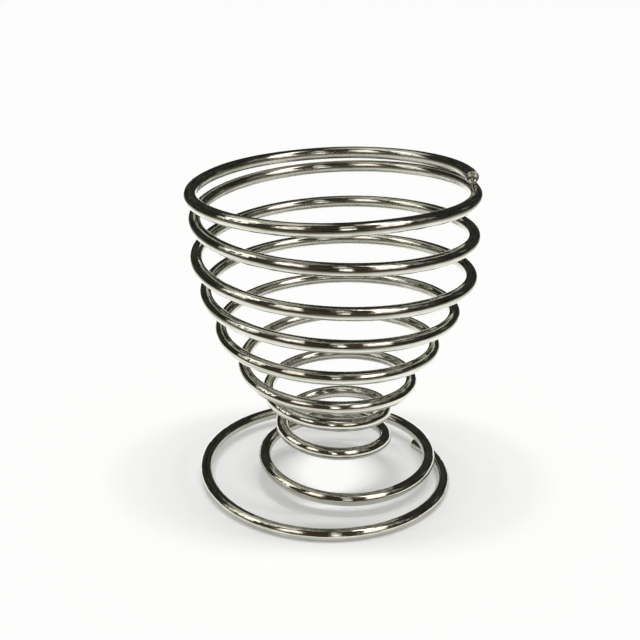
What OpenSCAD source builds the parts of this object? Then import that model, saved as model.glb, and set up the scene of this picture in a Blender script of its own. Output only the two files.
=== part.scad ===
// Egg cup wound from one length of polished round wire. The wire starts with a
// cut end at the rim, runs down as an open spiral that narrows to a waist, then
// flares out in two wide turns that make the foot. Each cut end is joined to the
// turn beside it by a weld bead.
// Millimetres, +Z up, standing on the plane Z = 0, axis of the cup on Z.

/* [Cup] */
// Outside diameter over the rim turns
rim_d = 50; // [46:0.5:54]
// Height from the table to the top of the rim
height = 56.8; // [53:0.2:62]
// Outside diameter at the waist
waist_d = 20; // [17:0.5:23]
// Height of the middle of the wire at the waist
waist_h = 8.6; // [7.8:0.2:10]
// Turns from the cut end at the rim down to the waist
cup_turns = 7.75; // [7:0.25:8.25]

/* [Foot] */
// Outside diameter of the foot ring
foot_d = 47; // [43:0.5:52]
// Turns from the waist to the cut end of the foot ring
foot_turns = 2.34; // [2.25:0.01:2.5]
// How far the middle of the cut end lies inside the turn above it
end_tuck = 0.1; // [0:0.05:0.8]
// Depth of the flat that the wire stands on
stand_flat = 0.22; // [0.1:0.02:0.4]

/* [Wire] */
// Diameter of the wire
wire_d = 2.2; // [1.8:0.1:2.5]
// Clear gap between two turns where a weld bead joins them
weld_gap = 0.48; // [0.42:0.02:0.8]
// Bevel around each cut end
end_bevel = 0.3; // [0.1:0.05:0.6]
// Diameter of the bead at the rim
rim_bead_d = 2.2; // [1.8:0.1:3]
// Diameter of the bead at the foot
foot_bead_d = 2.2; // [1.8:0.1:3]

/* [Hidden] */

// Rings in one turn of the wire and sides in each ring
rings_in_turn = 36;
wire_sides = 8;
// Faces around a round bead
bead_fn = 48;

// The rim from its cut end to the place straight below it, one turn on:
// turns, share of the rim's radius over the waist's, share of the step between them
rim_shares = [
    [0, 0.92, 1],
    [0.06, 0.94, 0.91],
    [0.2, 0.985, 0.61],
    [0.35, 1.005, 0.1],
    [0.5, 1.015, -0.27],
    [0.68, 1.005, -0.21],
    [0.85, 0.975, 0.07],
    [1, 0.96, 0]
];
// The wall of the cup below that place, down to the waist:
// share of its turns, of the radius over the waist's and of the height over it
wall_shares = [
    [0.025, 0.97, 0.98],
    [0.1, 0.97, 0.865],
    [0.175, 0.97, 0.825],
    [0.25, 0.965, 0.71],
    [0.32, 0.965, 0.665],
    [0.395, 0.83, 0.575],
    [0.47, 0.78, 0.51],
    [0.545, 0.665, 0.425],
    [0.62, 0.535, 0.375],
    [0.69, 0.415, 0.27],
    [0.765, 0.295, 0.225],
    [0.84, 0.115, 0.15],
    [0.915, 0.03, 0.085],
    [1, 0, 0]
];
// The flare from the waist to the turn that lies over the foot's cut end:
// share of its turns, of the radius it gains and of the height still to lose
flare_shares = [
    [0.2, 0.095, 0.79],
    [0.4, 0.18, 0.505],
    [0.6, 0.34, 0.21],
    [0.8, 0.645, -0.06],
    [1, 1, 0]
];
// The foot ring, which settles on the table and then bends in under that turn:
// turns after it, share of the radius gained and of the height still to lose
ring_shares = [
    [0.2, 0.9, 0.72],
    [0.38, 1.13, 0.52],
    [0.6, 1.145, 0],
    [0.85, 0.575, 0]
];
// Radius of the turn over the foot's cut end, between the waist and the foot ring
cross_share = 0.76;
// Step along the route, as a share of a turn, for taking its direction
step_share = 0.001;
// Turns that part one winding from the next when the gap is measured
apart_share = 0.5;

// Width of a ring over its corners, which its flat sides touch the round wire in
ring_w = wire_d / cos(180 / wire_sides);
rim_r = (rim_d - wire_d) / 2;
waist_r = (waist_d - wire_d) / 2;
foot_r = (foot_d - wire_d) / 2;
cross_r = waist_r + (foot_r - waist_r) * cross_share;
top_z = height - wire_d / 2;
second_z = top_z - ring_w - weld_gap;
foot_z = wire_d / 2 - stand_flat;
cross_z = foot_z + ring_w + weld_gap;
cross_turn = cup_turns + foot_turns - 1;
end_turn = cup_turns + foot_turns;

// Stations of the route: turns from the rim's cut end, radius, height
stations = concat(
    [for (s = rim_shares)
        [s[0], waist_r + (rim_r - waist_r) * s[1], second_z + (top_z - second_z) * s[2]]],
    [for (s = wall_shares)
        [1 + (cup_turns - 1) * s[0], waist_r + (rim_r - waist_r) * s[1], waist_h + (second_z - waist_h) * s[2]]],
    [for (s = flare_shares)
        [cup_turns + (foot_turns - 1) * s[0], waist_r + (cross_r - waist_r) * s[1], cross_z + (waist_h - cross_z) * s[2]]],
    [for (s = ring_shares)
        [cross_turn + s[0], cross_r + (foot_r - cross_r) * s[1], foot_z + (cross_z - foot_z) * s[2]]],
    [[end_turn, cross_r - end_tuck, foot_z]]
);
last_station = len(stations) - 1;

// Slope of column c between a station and the next one
function rise(c, k) =
    (stations[k + 1][c] - stations[k][c]) / (stations[k + 1][0] - stations[k][0]);
function span(k) = stations[k + 1][0] - stations[k][0];
// Slope at a station that never overshoots: level at a high or a low point
function slope(c, k) =
    k == 0 ? rise(c, 0) :
    k == last_station ? rise(c, k - 1) :
    rise(c, k - 1) * rise(c, k) <= 0 ? 0 :
    3 * (span(k - 1) + span(k)) / (
        (2 * span(k) + span(k - 1)) / rise(c, k - 1) +
        (span(k) + 2 * span(k - 1)) / rise(c, k));
slopes = [for (k = [0 : last_station]) [0, slope(1, k), slope(2, k)]];
function station_at(t, k = 0) =
    k >= last_station - 1 || t < stations[k + 1][0] ? k : station_at(t, k + 1);
// Radius (column 1) or height (column 2) of the route at t turns
function along(c, t) =
    let (k = station_at(t), h = span(k), u = (t - stations[k][0]) / h)
    (2 * pow(u, 3) - 3 * pow(u, 2) + 1) * stations[k][c]
    + (pow(u, 3) - 2 * pow(u, 2) + u) * h * slopes[k][c]
    + (3 * pow(u, 2) - 2 * pow(u, 3)) * stations[k + 1][c]
    + (pow(u, 3) - pow(u, 2)) * h * slopes[k + 1][c];
function route(t) =
    [along(1, t) * cos(360 * t), along(1, t) * sin(360 * t), along(2, t)];

function unit(v) = v / norm(v);
// Direction of the wire at t turns
function heading(t) =
    unit(route(min(t + step_share, end_turn)) - route(max(t - step_share, 0)));

// Rings of the wire: turns and width over corners, with a bevel at each cut end
ring_count = round(end_turn * rings_in_turn);
rim_bevel_turn = end_bevel / (2 * PI * along(1, 0));
foot_bevel_turn = end_bevel / (2 * PI * along(1, end_turn));
rings = concat(
    [[0, ring_w - 2 * end_bevel], [rim_bevel_turn, ring_w]],
    [for (k = [1 : ring_count - 1]) [end_turn * k / ring_count, ring_w]],
    [[end_turn - foot_bevel_turn, ring_w], [end_turn, ring_w - 2 * end_bevel]]
);
// A corner below the table slides along its sloping side until it is level with it
function stood(p, out) =
    p[2] >= 0 ? p :
    [p[0] - out[0] * p[2] / tan(360 / wire_sides), p[1] - out[1] * p[2] / tan(360 / wire_sides), 0];
function ring_points(ring) =
    let (
        middle = route(ring[0]),
        ahead = heading(ring[0]),
        out = unit(cross(ahead, [0, 0, 1])),
        up = cross(out, ahead)
    )
    [for (j = [0 : wire_sides - 1])
        let (a = 360 * (j + 0.5) / wire_sides)
        stood(middle + ring[1] / 2 * (cos(a) * out + sin(a) * up), sign(cos(a)) * out)];

// One stretch of the wire as a closed tube, from ring a to ring b
module wire_run(a, b) {
    n = wire_sides;
    m = b - a;
    points = [for (k = [a : b]) each ring_points(rings[k])];
    sides = [for (k = [0 : m - 1]) for (j = [0 : n - 1])
        let (p = k * n + j, q = k * n + (j + 1) % n)
        each [[p, q, p + n], [q, q + n, p + n]]];
    near_end = [for (j = [1 : n - 2]) [0, j + 1, j]];
    far_end = [for (j = [1 : n - 2]) [m * n, m * n + j, m * n + j + 1]];
    polyhedron(points = points, faces = concat(sides, near_end, far_end), convexity = 20);
}

// First ring at or after t turns
function ring_at(t) = min(len(rings) - 1, 1 + ceil(t / end_turn * ring_count));
// Each bead sits one wire back from its cut face
rim_weld_turn = wire_d / (2 * PI * along(1, 0));
foot_weld_turn = end_turn - wire_d / (2 * PI * along(1, end_turn));

// A bead between two turns, cut to the wire that it seats on
module bead(t, d) {
    difference() {
        translate((route(t) + route(t + 1)) / 2) sphere(d = d, $fn = bead_fn);
        wire_run(max(0, ring_at(t) - 2), ring_at(t) + 2);
        wire_run(ring_at(t + 1) - 3, min(len(rings) - 1, ring_at(t + 1) + 2));
    }
}

module spiral_wire() {
    color([0.74, 0.75, 0.77]) wire_run(0, len(rings) - 1);
}

module rim_weld() {
    color([0.86, 0.72, 0.42]) bead(rim_weld_turn, rim_bead_d);
}

module foot_weld() {
    color([0.50, 0.62, 0.80]) bead(foot_weld_turn - 1, foot_bead_d);
}

// Least gap between one winding and another, from ring middles to the run between rings
middles = [for (r = rings) route(r[0])];
function off_run(p, a, b) =
    let (u = max(0, min(1, (p - a) * (b - a) / ((b - a) * (b - a)))))
    norm(p - a - u * (b - a));
wire_gap = min([for (i = [0 : len(rings) - 2]) for (j = [0 : len(rings) - 2])
    if (rings[j][0] - rings[i][0] > apart_share) off_run(middles[i], middles[j], middles[j + 1])]) - ring_w;
echo(least_gap_between_windings = wire_gap);

spiral_wire();
rim_weld();
foot_weld();
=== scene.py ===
"""Looks of the wire egg cup: smooth chromed wire, its two cut ends and its two welds,
on a plain pale floor under soft studio light. Metres, +Z up, in the frame of the CAD part."""
import math

import bpy
import numpy as np
from mathutils import Matrix, Vector


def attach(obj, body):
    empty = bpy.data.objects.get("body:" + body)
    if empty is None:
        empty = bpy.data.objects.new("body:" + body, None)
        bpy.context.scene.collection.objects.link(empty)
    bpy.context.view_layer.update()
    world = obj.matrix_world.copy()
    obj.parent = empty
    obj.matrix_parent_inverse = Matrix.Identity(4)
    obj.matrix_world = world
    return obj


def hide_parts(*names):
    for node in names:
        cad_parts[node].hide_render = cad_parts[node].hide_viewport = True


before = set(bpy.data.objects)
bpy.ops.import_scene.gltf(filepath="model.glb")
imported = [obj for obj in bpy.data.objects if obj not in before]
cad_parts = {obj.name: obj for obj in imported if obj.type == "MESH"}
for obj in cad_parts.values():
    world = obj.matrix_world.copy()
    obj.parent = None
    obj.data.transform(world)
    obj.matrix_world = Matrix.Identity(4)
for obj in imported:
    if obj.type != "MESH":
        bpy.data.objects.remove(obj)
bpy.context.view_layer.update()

MM = 0.001               # metres in a millimetre

# ---- Sizes of the wire and its route, the same as in the CAD source, in millimetres and turns

WIRE_D = 2.2
RIM_D = 50.0
HEIGHT = 56.8
WAIST_D = 20.0
WAIST_H = 8.6
FOOT_D = 47.0
CUP_TURNS = 7.75
FOOT_TURNS = 2.34
END_TUCK = 0.1
STAND_FLAT = 0.22
CROSS_SHARE = 0.76
TOUCH_GAP = 0.04         # what parts two turns at a weld, which the solids keep further apart

# The rim: turns, share of its radius over the waist's, share of its step down to the second turn
RIM_SHARES = (
    (0, 0.92, 1), (0.06, 0.94, 0.91), (0.2, 0.985, 0.61), (0.35, 1.005, 0.1),
    (0.5, 1.015, -0.27), (0.68, 1.005, -0.21), (0.85, 0.975, 0.07), (1, 0.96, 0),
)
# The wall: share of its turns, of the radius over the waist's and of the height over it
WALL_SHARES = (
    (0.025, 0.97, 0.98), (0.1, 0.97, 0.865), (0.175, 0.97, 0.825), (0.25, 0.965, 0.71),
    (0.32, 0.965, 0.665), (0.395, 0.83, 0.575), (0.47, 0.78, 0.51), (0.545, 0.665, 0.425),
    (0.62, 0.535, 0.375), (0.69, 0.415, 0.27), (0.765, 0.295, 0.225), (0.84, 0.115, 0.15),
    (0.915, 0.03, 0.085), (1, 0, 0),
)
# The flare to the turn over the foot's cut end: share of its turns, of the radius it gains and
# of the height still to lose
FLARE_SHARES = (
    (0.2, 0.095, 0.79), (0.4, 0.18, 0.505), (0.6, 0.34, 0.21), (0.8, 0.645, -0.06), (1, 1, 0),
)
# The foot ring: turns after the flare, share of the radius gained and of the height still to lose
RING_SHARES = ((0.2, 0.9, 0.72), (0.38, 1.13, 0.52), (0.6, 1.145, 0), (0.85, 0.575, 0))

WIRE_R = WIRE_D / 2
RIM_R = (RIM_D - WIRE_D) / 2
WAIST_R = (WAIST_D - WIRE_D) / 2
FOOT_R = (FOOT_D - WIRE_D) / 2
CROSS_R = WAIST_R + (FOOT_R - WAIST_R) * CROSS_SHARE
TOP_Z = HEIGHT - WIRE_R
SECOND_Z = TOP_Z - WIRE_D - TOUCH_GAP
FOOT_Z = WIRE_R - STAND_FLAT
CROSS_Z = FOOT_Z + WIRE_D + TOUCH_GAP
CROSS_TURN = CUP_TURNS + FOOT_TURNS - 1
END_TURN = CUP_TURNS + FOOT_TURNS


# ---- The route: stations of turns, radius and height, joined by a curve that never overshoots

RADIUS, RISE = 1, 2      # columns of a station, after its turns
HEADING_STEP = 0.001     # turns to each side for taking the wire's direction


def between(a, b, share):
    return a + (b - a) * share


STATIONS = np.array(
    [(t, between(WAIST_R, RIM_R, r), between(SECOND_Z, TOP_Z, z)) for t, r, z in RIM_SHARES]
    + [(1 + (CUP_TURNS - 1) * t, between(WAIST_R, RIM_R, r), between(WAIST_H, SECOND_Z, z))
       for t, r, z in WALL_SHARES]
    + [(CUP_TURNS + (FOOT_TURNS - 1) * t, between(WAIST_R, CROSS_R, r), between(CROSS_Z, WAIST_H, z))
       for t, r, z in FLARE_SHARES]
    + [(CROSS_TURN + t, between(CROSS_R, FOOT_R, r), between(FOOT_Z, CROSS_Z, z))
       for t, r, z in RING_SHARES]
    + [(END_TURN, CROSS_R - END_TUCK, FOOT_Z)], float)


def station_slopes(column):
    """Slope at each station, level at a high or low point."""
    spans = np.diff(STATIONS[:, 0])
    rises = np.diff(STATIONS[:, column]) / spans
    slopes = np.zeros(len(STATIONS))
    for k in range(1, len(rises)):
        if rises[k - 1] * rises[k] > 0:
            first, second = 2 * spans[k] + spans[k - 1], spans[k] + 2 * spans[k - 1]
            slopes[k] = (first + second) / (first / rises[k - 1] + second / rises[k])
    slopes[0], slopes[-1] = rises[0], rises[-1]
    return slopes


SLOPES = {column: station_slopes(column) for column in (RADIUS, RISE)}


def along(column, t):
    """Radius or height of the route at t turns, in millimetres."""
    at = STATIONS[:, 0]
    k = np.clip(np.searchsorted(at, t, side="right") - 1, 0, len(at) - 2)
    h = at[k + 1] - at[k]
    u = (t - at[k]) / h
    v, m = STATIONS[:, column], SLOPES[column]
    return ((2 * u**3 - 3 * u**2 + 1) * v[k] + (u**3 - 2 * u**2 + u) * h * m[k]
            + (3 * u**2 - 2 * u**3) * v[k + 1] + (u**3 - u**2) * h * m[k + 1])


def route(t):
    """Middle of the wire at t turns from the rim's cut end, in millimetres."""
    t = np.asarray(t, float)
    r, a = along(RADIUS, t), 2 * math.pi * t
    return np.stack([r * np.cos(a), r * np.sin(a), along(RISE, t)], -1)


def turns_in(length, t):
    """Turns that a short length of wire takes at t turns."""
    return length / (2 * math.pi * along(RADIUS, t))


def unit(v):
    return v / np.linalg.norm(v, axis=-1, keepdims=True)


def axes(t):
    """Direction of the wire at t turns, its outward side and its upper side."""
    ahead = unit(route(np.minimum(t + HEADING_STEP, END_TURN)) - route(np.maximum(t - HEADING_STEP, 0)))
    out = unit(np.cross(ahead, [0, 0, 1]))
    return ahead, out, np.cross(out, ahead)


# ---- Meshes built from rings of points

def new_mesh(name, points, faces, smooth=True):
    mesh = bpy.data.meshes.new(name)
    mesh.from_pydata([tuple(p) for p in points], [], faces)
    mesh.validate()
    mesh.update()
    mesh.polygons.foreach_set("use_smooth", [smooth] * len(mesh.polygons))
    obj = bpy.data.objects.new(name, mesh)
    bpy.context.scene.collection.objects.link(obj)
    return obj


def circle(count):
    """Cosines and sines of even steps around a circle, each as a column."""
    angle = 2 * math.pi * np.arange(count)[:, None] / count
    return np.cos(angle), np.sin(angle)


def band(low, high, count):
    """Faces between two rings of count points, given by the points that they start at."""
    return [(high + j, high + (j + 1) % count, low + (j + 1) % count, low + j) for j in range(count)]


def cap(ring, centre, count, at_start):
    """Faces between an end ring of count points and the one point that closes it."""
    faces = [(centre, ring + j, ring + (j + 1) % count) for j in range(count)]
    return faces if at_start else [face[::-1] for face in faces]


# ---- The wire: a round tube along the route, with a rounded lip and a dished face at each cut end

TUBE_SIDES = 28
TUBE_STEP = 0.6          # millimetres between rings
MEASURE_STEPS = 20000    # steps in which the wire's length is measured
LIP = 0.24               # radius of the lip around a cut end
LIP_STEPS = 6
DISH_DEPTH = 0.36        # how deep the cut face is dished
DISH_SHARES = (0.8, 0.6, 0.4, 0.2)       # radii of the rings in a cut face
END_FACES = 2 * TUBE_SIDES * (len(DISH_SHARES) + 1)     # faces of both cut ends, the tube's last


def tube_rings():
    """Turns, length along the wire and radius of each ring of the tube."""
    turns = np.linspace(0, END_TURN, MEASURE_STEPS + 1)
    steps = np.linalg.norm(np.diff(route(turns), axis=0), axis=1)
    run = np.concatenate([[0], np.cumsum(steps)])
    total = run[-1]
    bend = math.pi / 2 * np.arange(LIP_STEPS - 1, 0, -1) / LIP_STEPS
    lip_s, lip_r = LIP * (1 - np.sin(bend)), WIRE_R - LIP * (1 - np.cos(bend))
    even_s = np.linspace(LIP, total - LIP, int(round(total / TUBE_STEP)))
    s = np.concatenate([lip_s, even_s, total - lip_s[::-1]])
    r = np.concatenate([lip_r, np.full(len(even_s), WIRE_R), lip_r[::-1]])
    return np.interp(s, run, turns), s, r


def tube():
    """Points of the wire in metres, its faces, and each point's place on the unwound wire:
    millimetres along it, outwards and upwards."""
    t, s, r = tube_rings()
    middle = route(t)
    ahead, out, up = axes(t)
    cos, sin = circle(TUBE_SIDES)
    points, unwound, faces = [], [], []

    def add_ring(k, radius, depth=0.0):
        points.extend(middle[k] + ahead[k] * depth + radius * (cos * out[k] + sin * up[k]))
        unwound.extend(np.hstack([np.full_like(cos, s[k]), radius * cos, radius * sin]))
        return len(points) - TUBE_SIDES

    starts = [add_ring(k, r[k]) for k in range(len(s))]
    for low, high in zip(starts, starts[1:]):
        faces += band(low, high, TUBE_SIDES)
    for k, inward in ((0, 1), (len(s) - 1, -1)):
        outer = starts[k]
        for share in DISH_SHARES:
            inner = add_ring(k, r[k] * share, inward * DISH_DEPTH * (1 - share**2))
            faces += band(inner, outer, TUBE_SIDES) if k == 0 else band(outer, inner, TUBE_SIDES)
            outer = inner
        faces += cap(outer, len(points), TUBE_SIDES, at_start=k == 0)
        points.append(middle[k] + ahead[k] * inward * DISH_DEPTH)
        unwound.append((s[k], 0, 0))
    points = np.array(points)
    points[:, 2] = np.maximum(points[:, 2], 0)      # the flat that the foot ring stands on
    return points * MM, faces, np.array(unwound)


wire_points, wire_faces, wire_unwound = tube()
wire = new_mesh("chrome_wire", wire_points, wire_faces)
space = wire.data.attributes.new("unwound", "FLOAT_VECTOR", "POINT")
space.data.foreach_set("vector", wire_unwound.astype(np.float32).ravel())


# ---- Weld nuggets: metal that fills the groove between two turns, drawn in at its flanks.
# Sizes in millimetres.

NUGGET_STEPS = 24        # steps along a nugget
NUGGET_SIDES = 24
NUGGET_WAIST = 0.72      # share of its width that is left halfway between the turns
NUGGET_TAPER = 0.4       # share of its height that is left at its two ends
NUGGET_HALF_WIDTH = 0.62
NUGGET_SINK = 0.25       # how far it reaches into each turn
RIM_NUGGET_HALF, FOOT_NUGGET_HALF = 1.2, 1.0     # half lengths along the wire

# Each weld sits one wire back from its cut face
RIM_WELD_TURN = turns_in(WIRE_D, 0.0)
FOOT_WELD_TURN = END_TURN - turns_in(WIRE_D, END_TURN)


def nugget(name, t, half_length):
    """A closed saddle between the turn at t and the turn after it, over half_length each way."""
    cos, sin = circle(NUGGET_SIDES)
    squared = np.maximum(abs(cos), abs(sin))        # draws the round ring out into a square
    u, v = cos / squared, sin / squared
    width = NUGGET_HALF_WIDTH * between(NUGGET_WAIST, 1, v * v)
    points, faces, starts = [], [], []
    for share in np.linspace(-1, 1, NUGGET_STEPS + 1)[1:-1]:
        at = t + turns_in(share * half_length, t)
        high, low = route(at), route(at + 1)
        across = unit(low - high)
        side = unit(np.cross(axes(at)[0], across))
        swell = math.sqrt(1 - share**2)
        half_gap = np.linalg.norm(low - high) / 2 - WIRE_R + NUGGET_SINK
        starts.append(len(points))
        points.extend((high + low) / 2 + side * u * width * swell
                      + across * v * half_gap * between(NUGGET_TAPER, 1, swell))
    for low, high in zip(starts, starts[1:]):
        faces += band(low, high, NUGGET_SIDES)
    for start in (starts[0], starts[-1]):
        faces += cap(start, len(points), NUGGET_SIDES, at_start=start == 0)
        points.append(sum(points[start:start + NUGGET_SIDES]) / NUGGET_SIDES)
    return new_mesh(name, np.array(points) * MM, faces)


rim_nugget = nugget("rim_weld_nugget", RIM_WELD_TURN, RIM_NUGGET_HALF)
foot_nugget = nugget("foot_weld_nugget", FOOT_WELD_TURN - 1, FOOT_NUGGET_HALF)


# ---- Materials

class Graph:
    """Nodes of one material or world, wired by short calls that return their output socket."""

    def __init__(self, owner):
        owner.use_nodes = True
        self.nodes, self.links = owner.node_tree.nodes, owner.node_tree.links
        self.nodes.clear()

    def node(self, kind, settings=None, inputs=None):
        node = self.nodes.new(kind)
        for key, value in (settings or {}).items():
            setattr(node, key, value)
        for key, value in (inputs or {}).items():
            if isinstance(value, bpy.types.NodeSocket):
                self.links.new(value, node.inputs[key])
            else:
                node.inputs[key].default_value = value
        return node

    def worked_out(self, kind, operation, values):
        return self.node(kind, {"operation": operation}, dict(enumerate(values))).outputs

    def math(self, operation, *values):
        return self.worked_out("ShaderNodeMath", operation, values)[0]

    def vector(self, operation, *values):
        """Both outputs of a vector operation: the vector, then the single value."""
        return self.worked_out("ShaderNodeVectorMath", operation, values)

    def scaled(self, colour, factor):
        return self.node("ShaderNodeVectorMath", {"operation": "SCALE"}, {
            0: colour, "Scale": factor}).outputs[0]

    def ranged(self, value, low, high, to_low=0.0, to_high=1.0, kind="LINEAR"):
        return self.node("ShaderNodeMapRange", {"interpolation_type": kind}, {
            "Value": value, "From Min": low, "From Max": high, "To Min": to_low,
            "To Max": to_high}).outputs["Result"]

    def noise(self, place, scale, detail, stretch=(1, 1, 1)):
        mapping = self.node("ShaderNodeMapping", None, {"Vector": place, "Scale": stretch})
        return self.node("ShaderNodeTexNoise", None, {
            "Vector": mapping.outputs[0], "Scale": scale, "Detail": detail}).outputs["Fac"]

    def mixed(self, factor, first, second):
        node = self.nodes.new("ShaderNodeMix")
        node.data_type = "RGBA"
        a, b = [socket for socket in node.inputs if socket.type == "RGBA"]
        a.default_value, b.default_value = (*first, 1), (*second, 1)
        self.links.new(factor, node.inputs["Factor"])
        return [socket for socket in node.outputs if socket.type == "RGBA"][0]

    def bump(self, height, depth, strength, normal=None):
        inputs = {"Strength": strength, "Distance": depth, "Height": height}
        if normal is not None:
            inputs["Normal"] = normal
        return self.node("ShaderNodeBump", None, inputs).outputs["Normal"]

    def position(self):
        return self.node("ShaderNodeNewGeometry").outputs["Position"]

    def parts(self, vector):
        return self.node("ShaderNodeSeparateXYZ", None, {0: vector}).outputs

    def seen_rays(self):
        """1 for rays from the camera, from metal and through glass, 0 for the rest."""
        path = self.node("ShaderNodeLightPath").outputs
        both = self.math("MAXIMUM", path["Is Glossy Ray"], path["Is Transmission Ray"])
        return self.math("MAXIMUM", path["Is Camera Ray"], both)

    def surface(self, shader):
        self.node("ShaderNodeOutputMaterial", None, {"Surface": shader})


def new_material(name):
    material = bpy.data.materials.new(name)
    return material, Graph(material)


# ---- Chrome. Its marks follow the unwound wire, in millimetres along it, outwards and upwards.
# A scale is in grains for each millimetre. A range is the part of the noise that shows, or the
# millimetres over which something comes in.

STAIN_SCALE, STAIN_RANGE = 0.35, (0.35, 0.70)
SMEAR_SCALE, SMEAR_RANGE = 1.6, (0.30, 0.75)
SMEAR_STRETCH = (0.25, 1, 1)
SMEAR_SHARES = (0.6, 1.7)                # of the metal's roughness, where it is smooth and smeared
LINE_STRETCH = (0.03, 1, 1)              # drawing lines are long along the wire
COARSE_SCALE, FINE_SCALE = 2.4, 6.0
FINE_LINE_SHARE = 0.4                    # depth of the finest lines against the coarse ones
LINE_TONE, LINE_TONE_RANGE = 0.80, (0.38, 0.50)         # how dark the lines are against the plate
RIPPLE_SCALE = 0.55
BURNISHED = 0.35                         # share of their depth that marks keep on the inner side
BURNISHED_RANGE = (-0.4, 0.3)            # millimetres outwards over which they reach full depth
MANDREL_SIDE = (0, -0.9, -0.42)          # the side that the tapered mandrel lay against
RUBBED_ROUGH = 0.20                      # roughness that the mandrel added there
RUBBED_RANGE = (0.50, 0.95)              # millimetres towards it over which that comes in

# Colour, colour of its stains, roughness, depth of drawing lines and of the ripple in millimetres
METALS = {
    "bright_chrome": ((0.586, 0.582, 0.522), (0.517, 0.518, 0.435), 0.04, 0.04, 0.04),
    "sheared_end": ((0.64, 0.65, 0.58), (0.34, 0.35, 0.28), 0.17, 0.02, 0.10),
    "weld_chrome": ((0.62, 0.61, 0.58), (0.45, 0.42, 0.38), 0.16, 0.01, 0.05),
}


def metal(name):
    """Plated drawn wire: long fine lines along it, a soft ripple, smears and faint wear."""
    colour, stain, rough, line_depth, ripple_depth = METALS[name]
    material, graph = new_material(name)
    place = graph.node("ShaderNodeAttribute", {"attribute_name": "unwound"}).outputs["Vector"]
    cloud = graph.ranged(graph.noise(place, STAIN_SCALE, detail=3.0), *STAIN_RANGE)
    smear = graph.noise(place, SMEAR_SCALE, detail=4.0, stretch=SMEAR_STRETCH)
    smear = graph.ranged(smear, *SMEAR_RANGE, *[rough * share for share in SMEAR_SHARES])
    coarse = graph.noise(place, COARSE_SCALE, detail=2.0, stretch=LINE_STRETCH)
    fine = graph.noise(place, FINE_SCALE, detail=2.0, stretch=LINE_STRETCH)
    ripple = graph.noise(place, RIPPLE_SCALE, detail=1.0)
    outward = graph.parts(place)[1]
    marked = graph.ranged(outward, *BURNISHED_RANGE, BURNISHED, 1.0)
    normal = graph.bump(coarse, line_depth * MM, marked)
    normal = graph.bump(fine, line_depth * MM * FINE_LINE_SHARE, marked, normal)
    normal = graph.bump(ripple, ripple_depth * MM, marked, normal)
    towards_mandrel = graph.vector("DOT_PRODUCT", place, MANDREL_SIDE)[1]
    rubbed = graph.ranged(towards_mandrel, *RUBBED_RANGE, 0.0, RUBBED_ROUGH)
    tone = graph.ranged(coarse, *LINE_TONE_RANGE, LINE_TONE, 1.0)
    shader = graph.node("ShaderNodeBsdfPrincipled", None, {
        "Base Color": graph.scaled(graph.mixed(cloud, colour, stain), tone), "Metallic": 1.0,
        "Roughness": graph.math("ADD", smear, rubbed), "Normal": normal})
    graph.surface(shader.outputs["BSDF"])
    return material


wire.data.materials.append(metal("bright_chrome"))
wire.data.materials.append(metal("sheared_end"))
for polygon in wire.data.polygons[len(wire.data.polygons) - END_FACES:]:
    polygon.material_index = 1
weld_metal = metal("weld_chrome")
for piece in (rim_nugget, foot_nugget):
    piece.data.materials.append(weld_metal)

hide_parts("spiral_wire")
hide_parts("rim_weld")
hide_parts("foot_weld")
for piece, slot in ((wire, "wire"), (rim_nugget, "weld"), (foot_nugget, "weld")):
    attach(piece, "root")


# ---- Floor and world, white to the camera and in the metal

FLOOR_HALF = 3.0
FLOOR_COLOUR = (0.84, 0.84, 0.835)
FLOOR_GLOW = 0.30
WORLD_LIGHT = 0.25       # strength on matt surfaces; to the camera and in metal it is 1


def floor_material():
    """Matt, with a glow to the camera and in reflections, so that it reads as pale as it is."""
    material, graph = new_material("pale_floor")
    matt = graph.node("ShaderNodeBsdfDiffuse", None, {"Color": (*FLOOR_COLOUR, 1)})
    glow = graph.node("ShaderNodeEmission", None, {
        "Strength": graph.math("MULTIPLY", graph.seen_rays(), FLOOR_GLOW)})
    both = graph.node("ShaderNodeAddShader", None, {0: matt.outputs[0], 1: glow.outputs[0]})
    graph.surface(both.outputs[0])
    return material


floor = new_mesh("floor", [(-FLOOR_HALF, -FLOOR_HALF, 0), (FLOOR_HALF, -FLOOR_HALF, 0),
                           (FLOOR_HALF, FLOOR_HALF, 0), (-FLOOR_HALF, FLOOR_HALF, 0)],
                 [(0, 1, 2, 3)], smooth=False)
floor.data.materials.append(floor_material())

world = bpy.data.worlds.new("studio")
bpy.context.scene.world = world
sky = Graph(world)
sky_light = sky.node("ShaderNodeBackground", None, {
    "Color": (1, 1, 1, 1), "Strength": sky.ranged(sky.seen_rays(), 0, 1, WORLD_LIGHT, 1.0)})
sky.node("ShaderNodeOutputWorld", None, {"Surface": sky_light.outputs[0]})


# ---- The room that the metal mirrors: a dark vault with soft windows of light in it, and a
# table top. Only reflections see them, and they glow though none of them is a lamp: the vault's
# tones are a painted reflection of a dark room, its windows are painted highlights in the chrome,
# and the table's glow is a painted pool of light, pale beside the cup and dim further out.
# Sizes in metres.
# Directions are in degrees: azimuth 0 is over the camera and 90 on its right.

STAGE_SIDES = 48         # sides of the vault and of the table
VAULT_ROWS = 24
VAULT_R = 0.6
VAULT_Z = 0.03
VAULT_LOW, VAULT_TOP = -4, 90            # degrees over its middle; it closes on the table
ROOM_DARK = (0.018, 0.0175, 0.0145)
ROOM_BROWN = (0.132, 0.104, 0.078)
CLUTTER_SCALE, CLUTTER_RANGE = 9.0, (0.35, 0.70)        # what parts the dark from the brown
CLUTTER_STRETCH = (1, 1, 2.5)
ROOM_BEHIND = (0.58, 0.70, 0.80)         # what its tones are multiplied by behind the cup
BEHIND_RANGE = (50, 105)                 # azimuths to each side over which that comes in
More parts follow.
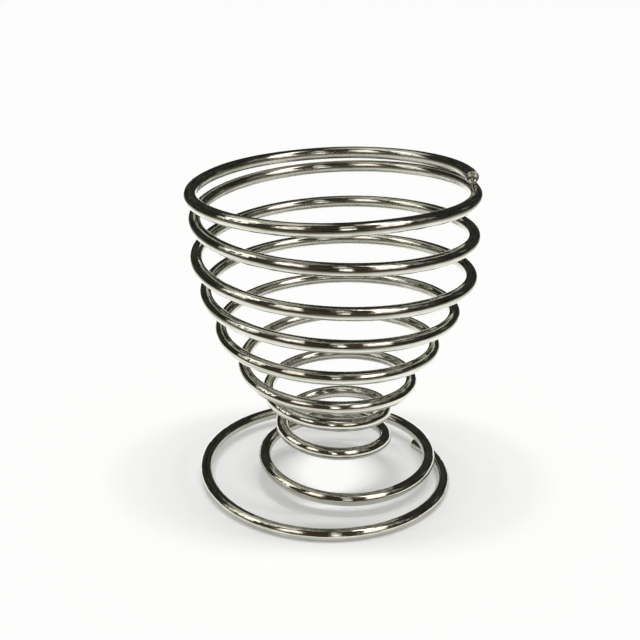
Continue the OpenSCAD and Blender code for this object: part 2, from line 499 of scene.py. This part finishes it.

# Painted highlights: each window is a glowing patch on the vault, no lamp, that only the chrome's
# reflections see.
# Windows: azimuth at the level of the cup, half width, lean in degrees for each degree of height,
# lowest and highest edge, softness of the sides, how broken up, brightness, colour
PAINTED_HIGHLIGHT_WINDOWS = (
    (-79, 14, -0.12, 16, 60, 6, 1.0, 2.80, (1.0, 1.0, 0.95)),
    (-79, 14, -0.12, 2, 36, 6, 0.9, 0.34, (1.0, 1.0, 0.95)),
    (-84, 24, -0.10, 48, 84, 12, 1.0, 1.30, (1.0, 1.0, 0.94)),
    (-128, 42, 0.0, 42, 92, 16, 0.5, 0.85, (1.0, 1.0, 0.94)),
    (-29, 12, -0.16, 22, 66, 4, 0.6, 2.60, (1.0, 0.95, 0.92)),
    (-29, 15, -0.16, 8, 34, 6, 0.3, 0.22, (1.0, 0.66, 0.60)),
    (9.5, 4.0, 0.04, 8, 34, 2, 0.2, 3.40, (1.0, 0.98, 0.94)),
    (6.0, 6.5, 0.12, 36, 74, 3, 0.7, 1.10, (1.0, 1.0, 0.94)),
    (42, 11.0, 0.06, 16, 38, 4, 0.5, 2.80, (1.0, 0.88, 0.87)),
    (40, 15.0, 0.06, 4, 28, 6, 0.3, 0.22, (1.0, 0.62, 0.60)),
    (33, 14.5, 0.48, 32, 82, 5, 0.4, 3.60, (1.0, 0.96, 0.94)),
    (77, 10.0, 0.05, 22, 60, 3, 1.0, 0.45, (0.97, 0.98, 1.0)),
    (119, 3.0, 0.0, 10, 30, 2, 0.3, 0.25, (0.97, 0.98, 1.0)),
    (80, 34, 0.0, 62, 86, 12, 0.5, 1.05, (1.0, 0.99, 0.95)),
)
SILL_SOFT, HEAD_SOFT = 8, 10             # degrees in which a window fades in and out, going up
BREAK_WIDE, BREAK_TALL = 2.8, 11.0       # degrees between the marks that break a window up
BREAK_RANGE = (0.44, 0.55)               # part of the marks' noise that shows

TABLE_IN = 0.026         # radius where the mirrored table begins, outside the foot ring
TABLE_Z = 0.0004
# Distance from the cup in metres and brightness of the painted pool of light on the table there
TABLE_LEVELS = (
    (0.026, 1.45), (0.036, 1.42), (0.05, 1.32), (0.065, 1.05), (0.085, 0.62), (0.12, 0.30),
    (0.2, 0.12), (0.4, 0.05))
TABLE_SIDE = 0.45        # share of a sideways distance that counts
TABLE_BACK = 0.08        # share of a distance behind the cup that counts
TABLE_OLIVE = 0.80       # blue against red where the table is dim
MOTTLE_SCALE, MOTTLE_RANGE = 30.0, (0.30, 0.70)
MOTTLE_SHARES = (0.85, 1.10)             # of the table's brightness


# The vault's glow is a painted reflection of a dark room, with painted highlights at its windows.
def room_material():
    material, graph = new_material("room")
    place = graph.position()
    x, y, z = graph.parts(place)
    azimuth = graph.math("DEGREES", graph.math("ARCTAN2", x, graph.math("MULTIPLY", y, -1.0)))
    outward = graph.vector("LENGTH", graph.vector("MULTIPLY", place, (1, 1, 0))[0])[1]
    height = graph.math("DEGREES", graph.math("ARCTAN2", graph.math("SUBTRACT", z, VAULT_Z), outward))
    clutter = graph.noise(place, CLUTTER_SCALE, detail=4.0, stretch=CLUTTER_STRETCH)
    clutter = graph.ranged(clutter, *CLUTTER_RANGE)
    behind = graph.ranged(graph.math("ABSOLUTE", azimuth), *BEHIND_RANGE)
    total = graph.vector("MULTIPLY", graph.mixed(clutter, ROOM_DARK, ROOM_BROWN),
                         graph.mixed(behind, (1, 1, 1), ROOM_BEHIND))[0]
    angles = graph.node("ShaderNodeCombineXYZ", None, {0: azimuth, 1: height}).outputs[0]
    marks = graph.noise(angles, 1.0, detail=3.0, stretch=(1 / BREAK_WIDE, 1 / BREAK_TALL, 1))
    # Each window adds a glowing patch to the vault, a painted highlight in the chrome.
    for start, half, lean, low, high, soft, broken, level, colour in PAINTED_HIGHLIGHT_WINDOWS:
        centre = graph.math("MULTIPLY_ADD", height, lean, start)
        off = graph.math("ABSOLUTE", graph.math("SUBTRACT", azimuth, centre))
        across = graph.ranged(off, half + soft / 2, half - soft / 2, kind="SMOOTHSTEP")
        sill = graph.ranged(height, low, low + SILL_SOFT, kind="SMOOTHSTEP")
        head = graph.ranged(height, high, high - HEAD_SOFT, kind="SMOOTHSTEP")
        mask = graph.math("MULTIPLY", across, graph.math("MULTIPLY", sill, head))
        part = graph.ranged(marks, *BREAK_RANGE, level * (1 - broken), level)
        light = graph.scaled(colour, graph.math("MULTIPLY", mask, part))
        total = graph.vector("ADD", total, light)[0]
    graph.surface(graph.node("ShaderNodeEmission", None, {"Color": total}).outputs[0])
    return material


# A painted pool of light that only reflections see: brightest beside the cup, dimmer further out and
# straight in front, brighter to the sides and behind it.
def painted_table_light_material():
    material, graph = new_material("painted_table_light")
    place = graph.position()
    x, y, _ = graph.parts(place)
    side = graph.math("MULTIPLY", x, TABLE_SIDE)
    depth = graph.math("MAXIMUM", graph.math("MULTIPLY", y, -1.0), graph.math("MULTIPLY", y, TABLE_BACK))
    away = graph.math("SQRT", graph.math(
        "ADD", graph.math("MULTIPLY", side, side), graph.math("MULTIPLY", depth, depth)))
    span, brightest = TABLE_LEVELS[-1][0], TABLE_LEVELS[0][1]
    ramp = graph.node("ShaderNodeValToRGB", None, {"Fac": graph.math("DIVIDE", away, span)})
    stops = ramp.color_ramp.elements
    while len(stops) < len(TABLE_LEVELS):
        stops.new(0.5)       # its place is set below
    for stop, (distance, level) in zip(stops, TABLE_LEVELS):
        stop.position = distance / span
        share = level / brightest
        stop.color = (share, share, share * between(TABLE_OLIVE, 1, share), 1)
    mottle = graph.ranged(graph.noise(place, MOTTLE_SCALE, detail=3.0), *MOTTLE_RANGE, *MOTTLE_SHARES)
    light = graph.node("ShaderNodeEmission", None, {
        "Color": ramp.outputs["Color"], "Strength": graph.math("MULTIPLY", mottle, brightest)})
    graph.surface(light.outputs[0])
    return material


def stage_mesh(name, rings, smooth):
    """A surface through level rings, each given as its radius and its height."""
    cos, sin = circle(STAGE_SIDES)
    points = [p for r, z in rings for p in np.hstack([r * cos, r * sin, np.full_like(cos, z)])]
    starts = range(0, len(points), STAGE_SIDES)
    faces = [face for low, high in zip(starts, starts[1:]) for face in band(low, high, STAGE_SIDES)]
    return new_mesh(name, points, faces, smooth=smooth)


def only_in_metal(obj, material):
    obj.data.materials.append(material)
    obj.visible_camera = obj.visible_diffuse = obj.visible_shadow = False
    obj.visible_transmission = obj.visible_volume_scatter = False


vault_heights = np.radians(np.linspace(VAULT_LOW, VAULT_TOP, VAULT_ROWS + 1))
vault_rings = [(VAULT_R * math.cos(e), VAULT_Z + VAULT_R * math.sin(e)) for e in vault_heights]
only_in_metal(stage_mesh("room_vault", vault_rings, smooth=True), room_material())
only_in_metal(stage_mesh("painted_table_reflection", [(TABLE_IN, TABLE_Z), (VAULT_R, TABLE_Z)], smooth=False),
              painted_table_light_material())


# ---- One long strip lamp high overhead for the floor, and the camera

LAMP_HEIGHT = 12.0
LAMP_WIDE, LAMP_DEEP = 8.0, 1.6
LAMP_WATTS = 855

lamp_light = bpy.data.lights.new("overhead", "AREA")
lamp_light.shape = "RECTANGLE"
lamp_light.size, lamp_light.size_y = LAMP_WIDE, LAMP_DEEP
lamp_light.energy = LAMP_WATTS
lamp = bpy.data.objects.new("overhead", lamp_light)
lamp.location = (0, 0, LAMP_HEIGHT)
lamp.visible_glossy = False
bpy.context.scene.collection.objects.link(lamp)

# Camera: place in millimetres, aim in radians, lens and sensor in millimetres, clips in metres
CAM_BACK, CAM_UP = 171.8, 96.4
CAM_PITCH, CAM_YAW, CAM_ROLL = 0.3687, -0.0134, -0.0113
CAM_LENS, CAM_SENSOR = 59.3, 36
CAM_NEAR, CAM_FAR = 0.01, 20


def camera_turn():
    """The camera looks along +Y, turned by its yaw and pitched down, then rolled."""
    aside = Vector((math.cos(CAM_YAW), -math.sin(CAM_YAW), 0))
    level = Vector((math.sin(CAM_YAW), math.cos(CAM_YAW), 0))
    forward = level * math.cos(CAM_PITCH) + Vector((0, 0, -math.sin(CAM_PITCH)))
    above = level * math.sin(CAM_PITCH) + Vector((0, 0, math.cos(CAM_PITCH)))
    right = aside * math.cos(CAM_ROLL) - above * math.sin(CAM_ROLL)
    upward = aside * math.sin(CAM_ROLL) + above * math.cos(CAM_ROLL)
    return Matrix((right, upward, -forward)).transposed().to_4x4()


camera_data = bpy.data.cameras.new("camera")
camera_data.lens, camera_data.sensor_width = CAM_LENS, CAM_SENSOR
camera_data.clip_start, camera_data.clip_end = CAM_NEAR, CAM_FAR
camera = bpy.data.objects.new("camera", camera_data)
bpy.context.scene.collection.objects.link(camera)
camera.matrix_world = Matrix.Translation((0, -CAM_BACK * MM, CAM_UP * MM)) @ camera_turn()
bpy.context.scene.camera = camera
bpy.context.scene.view_settings.view_transform = "Standard"
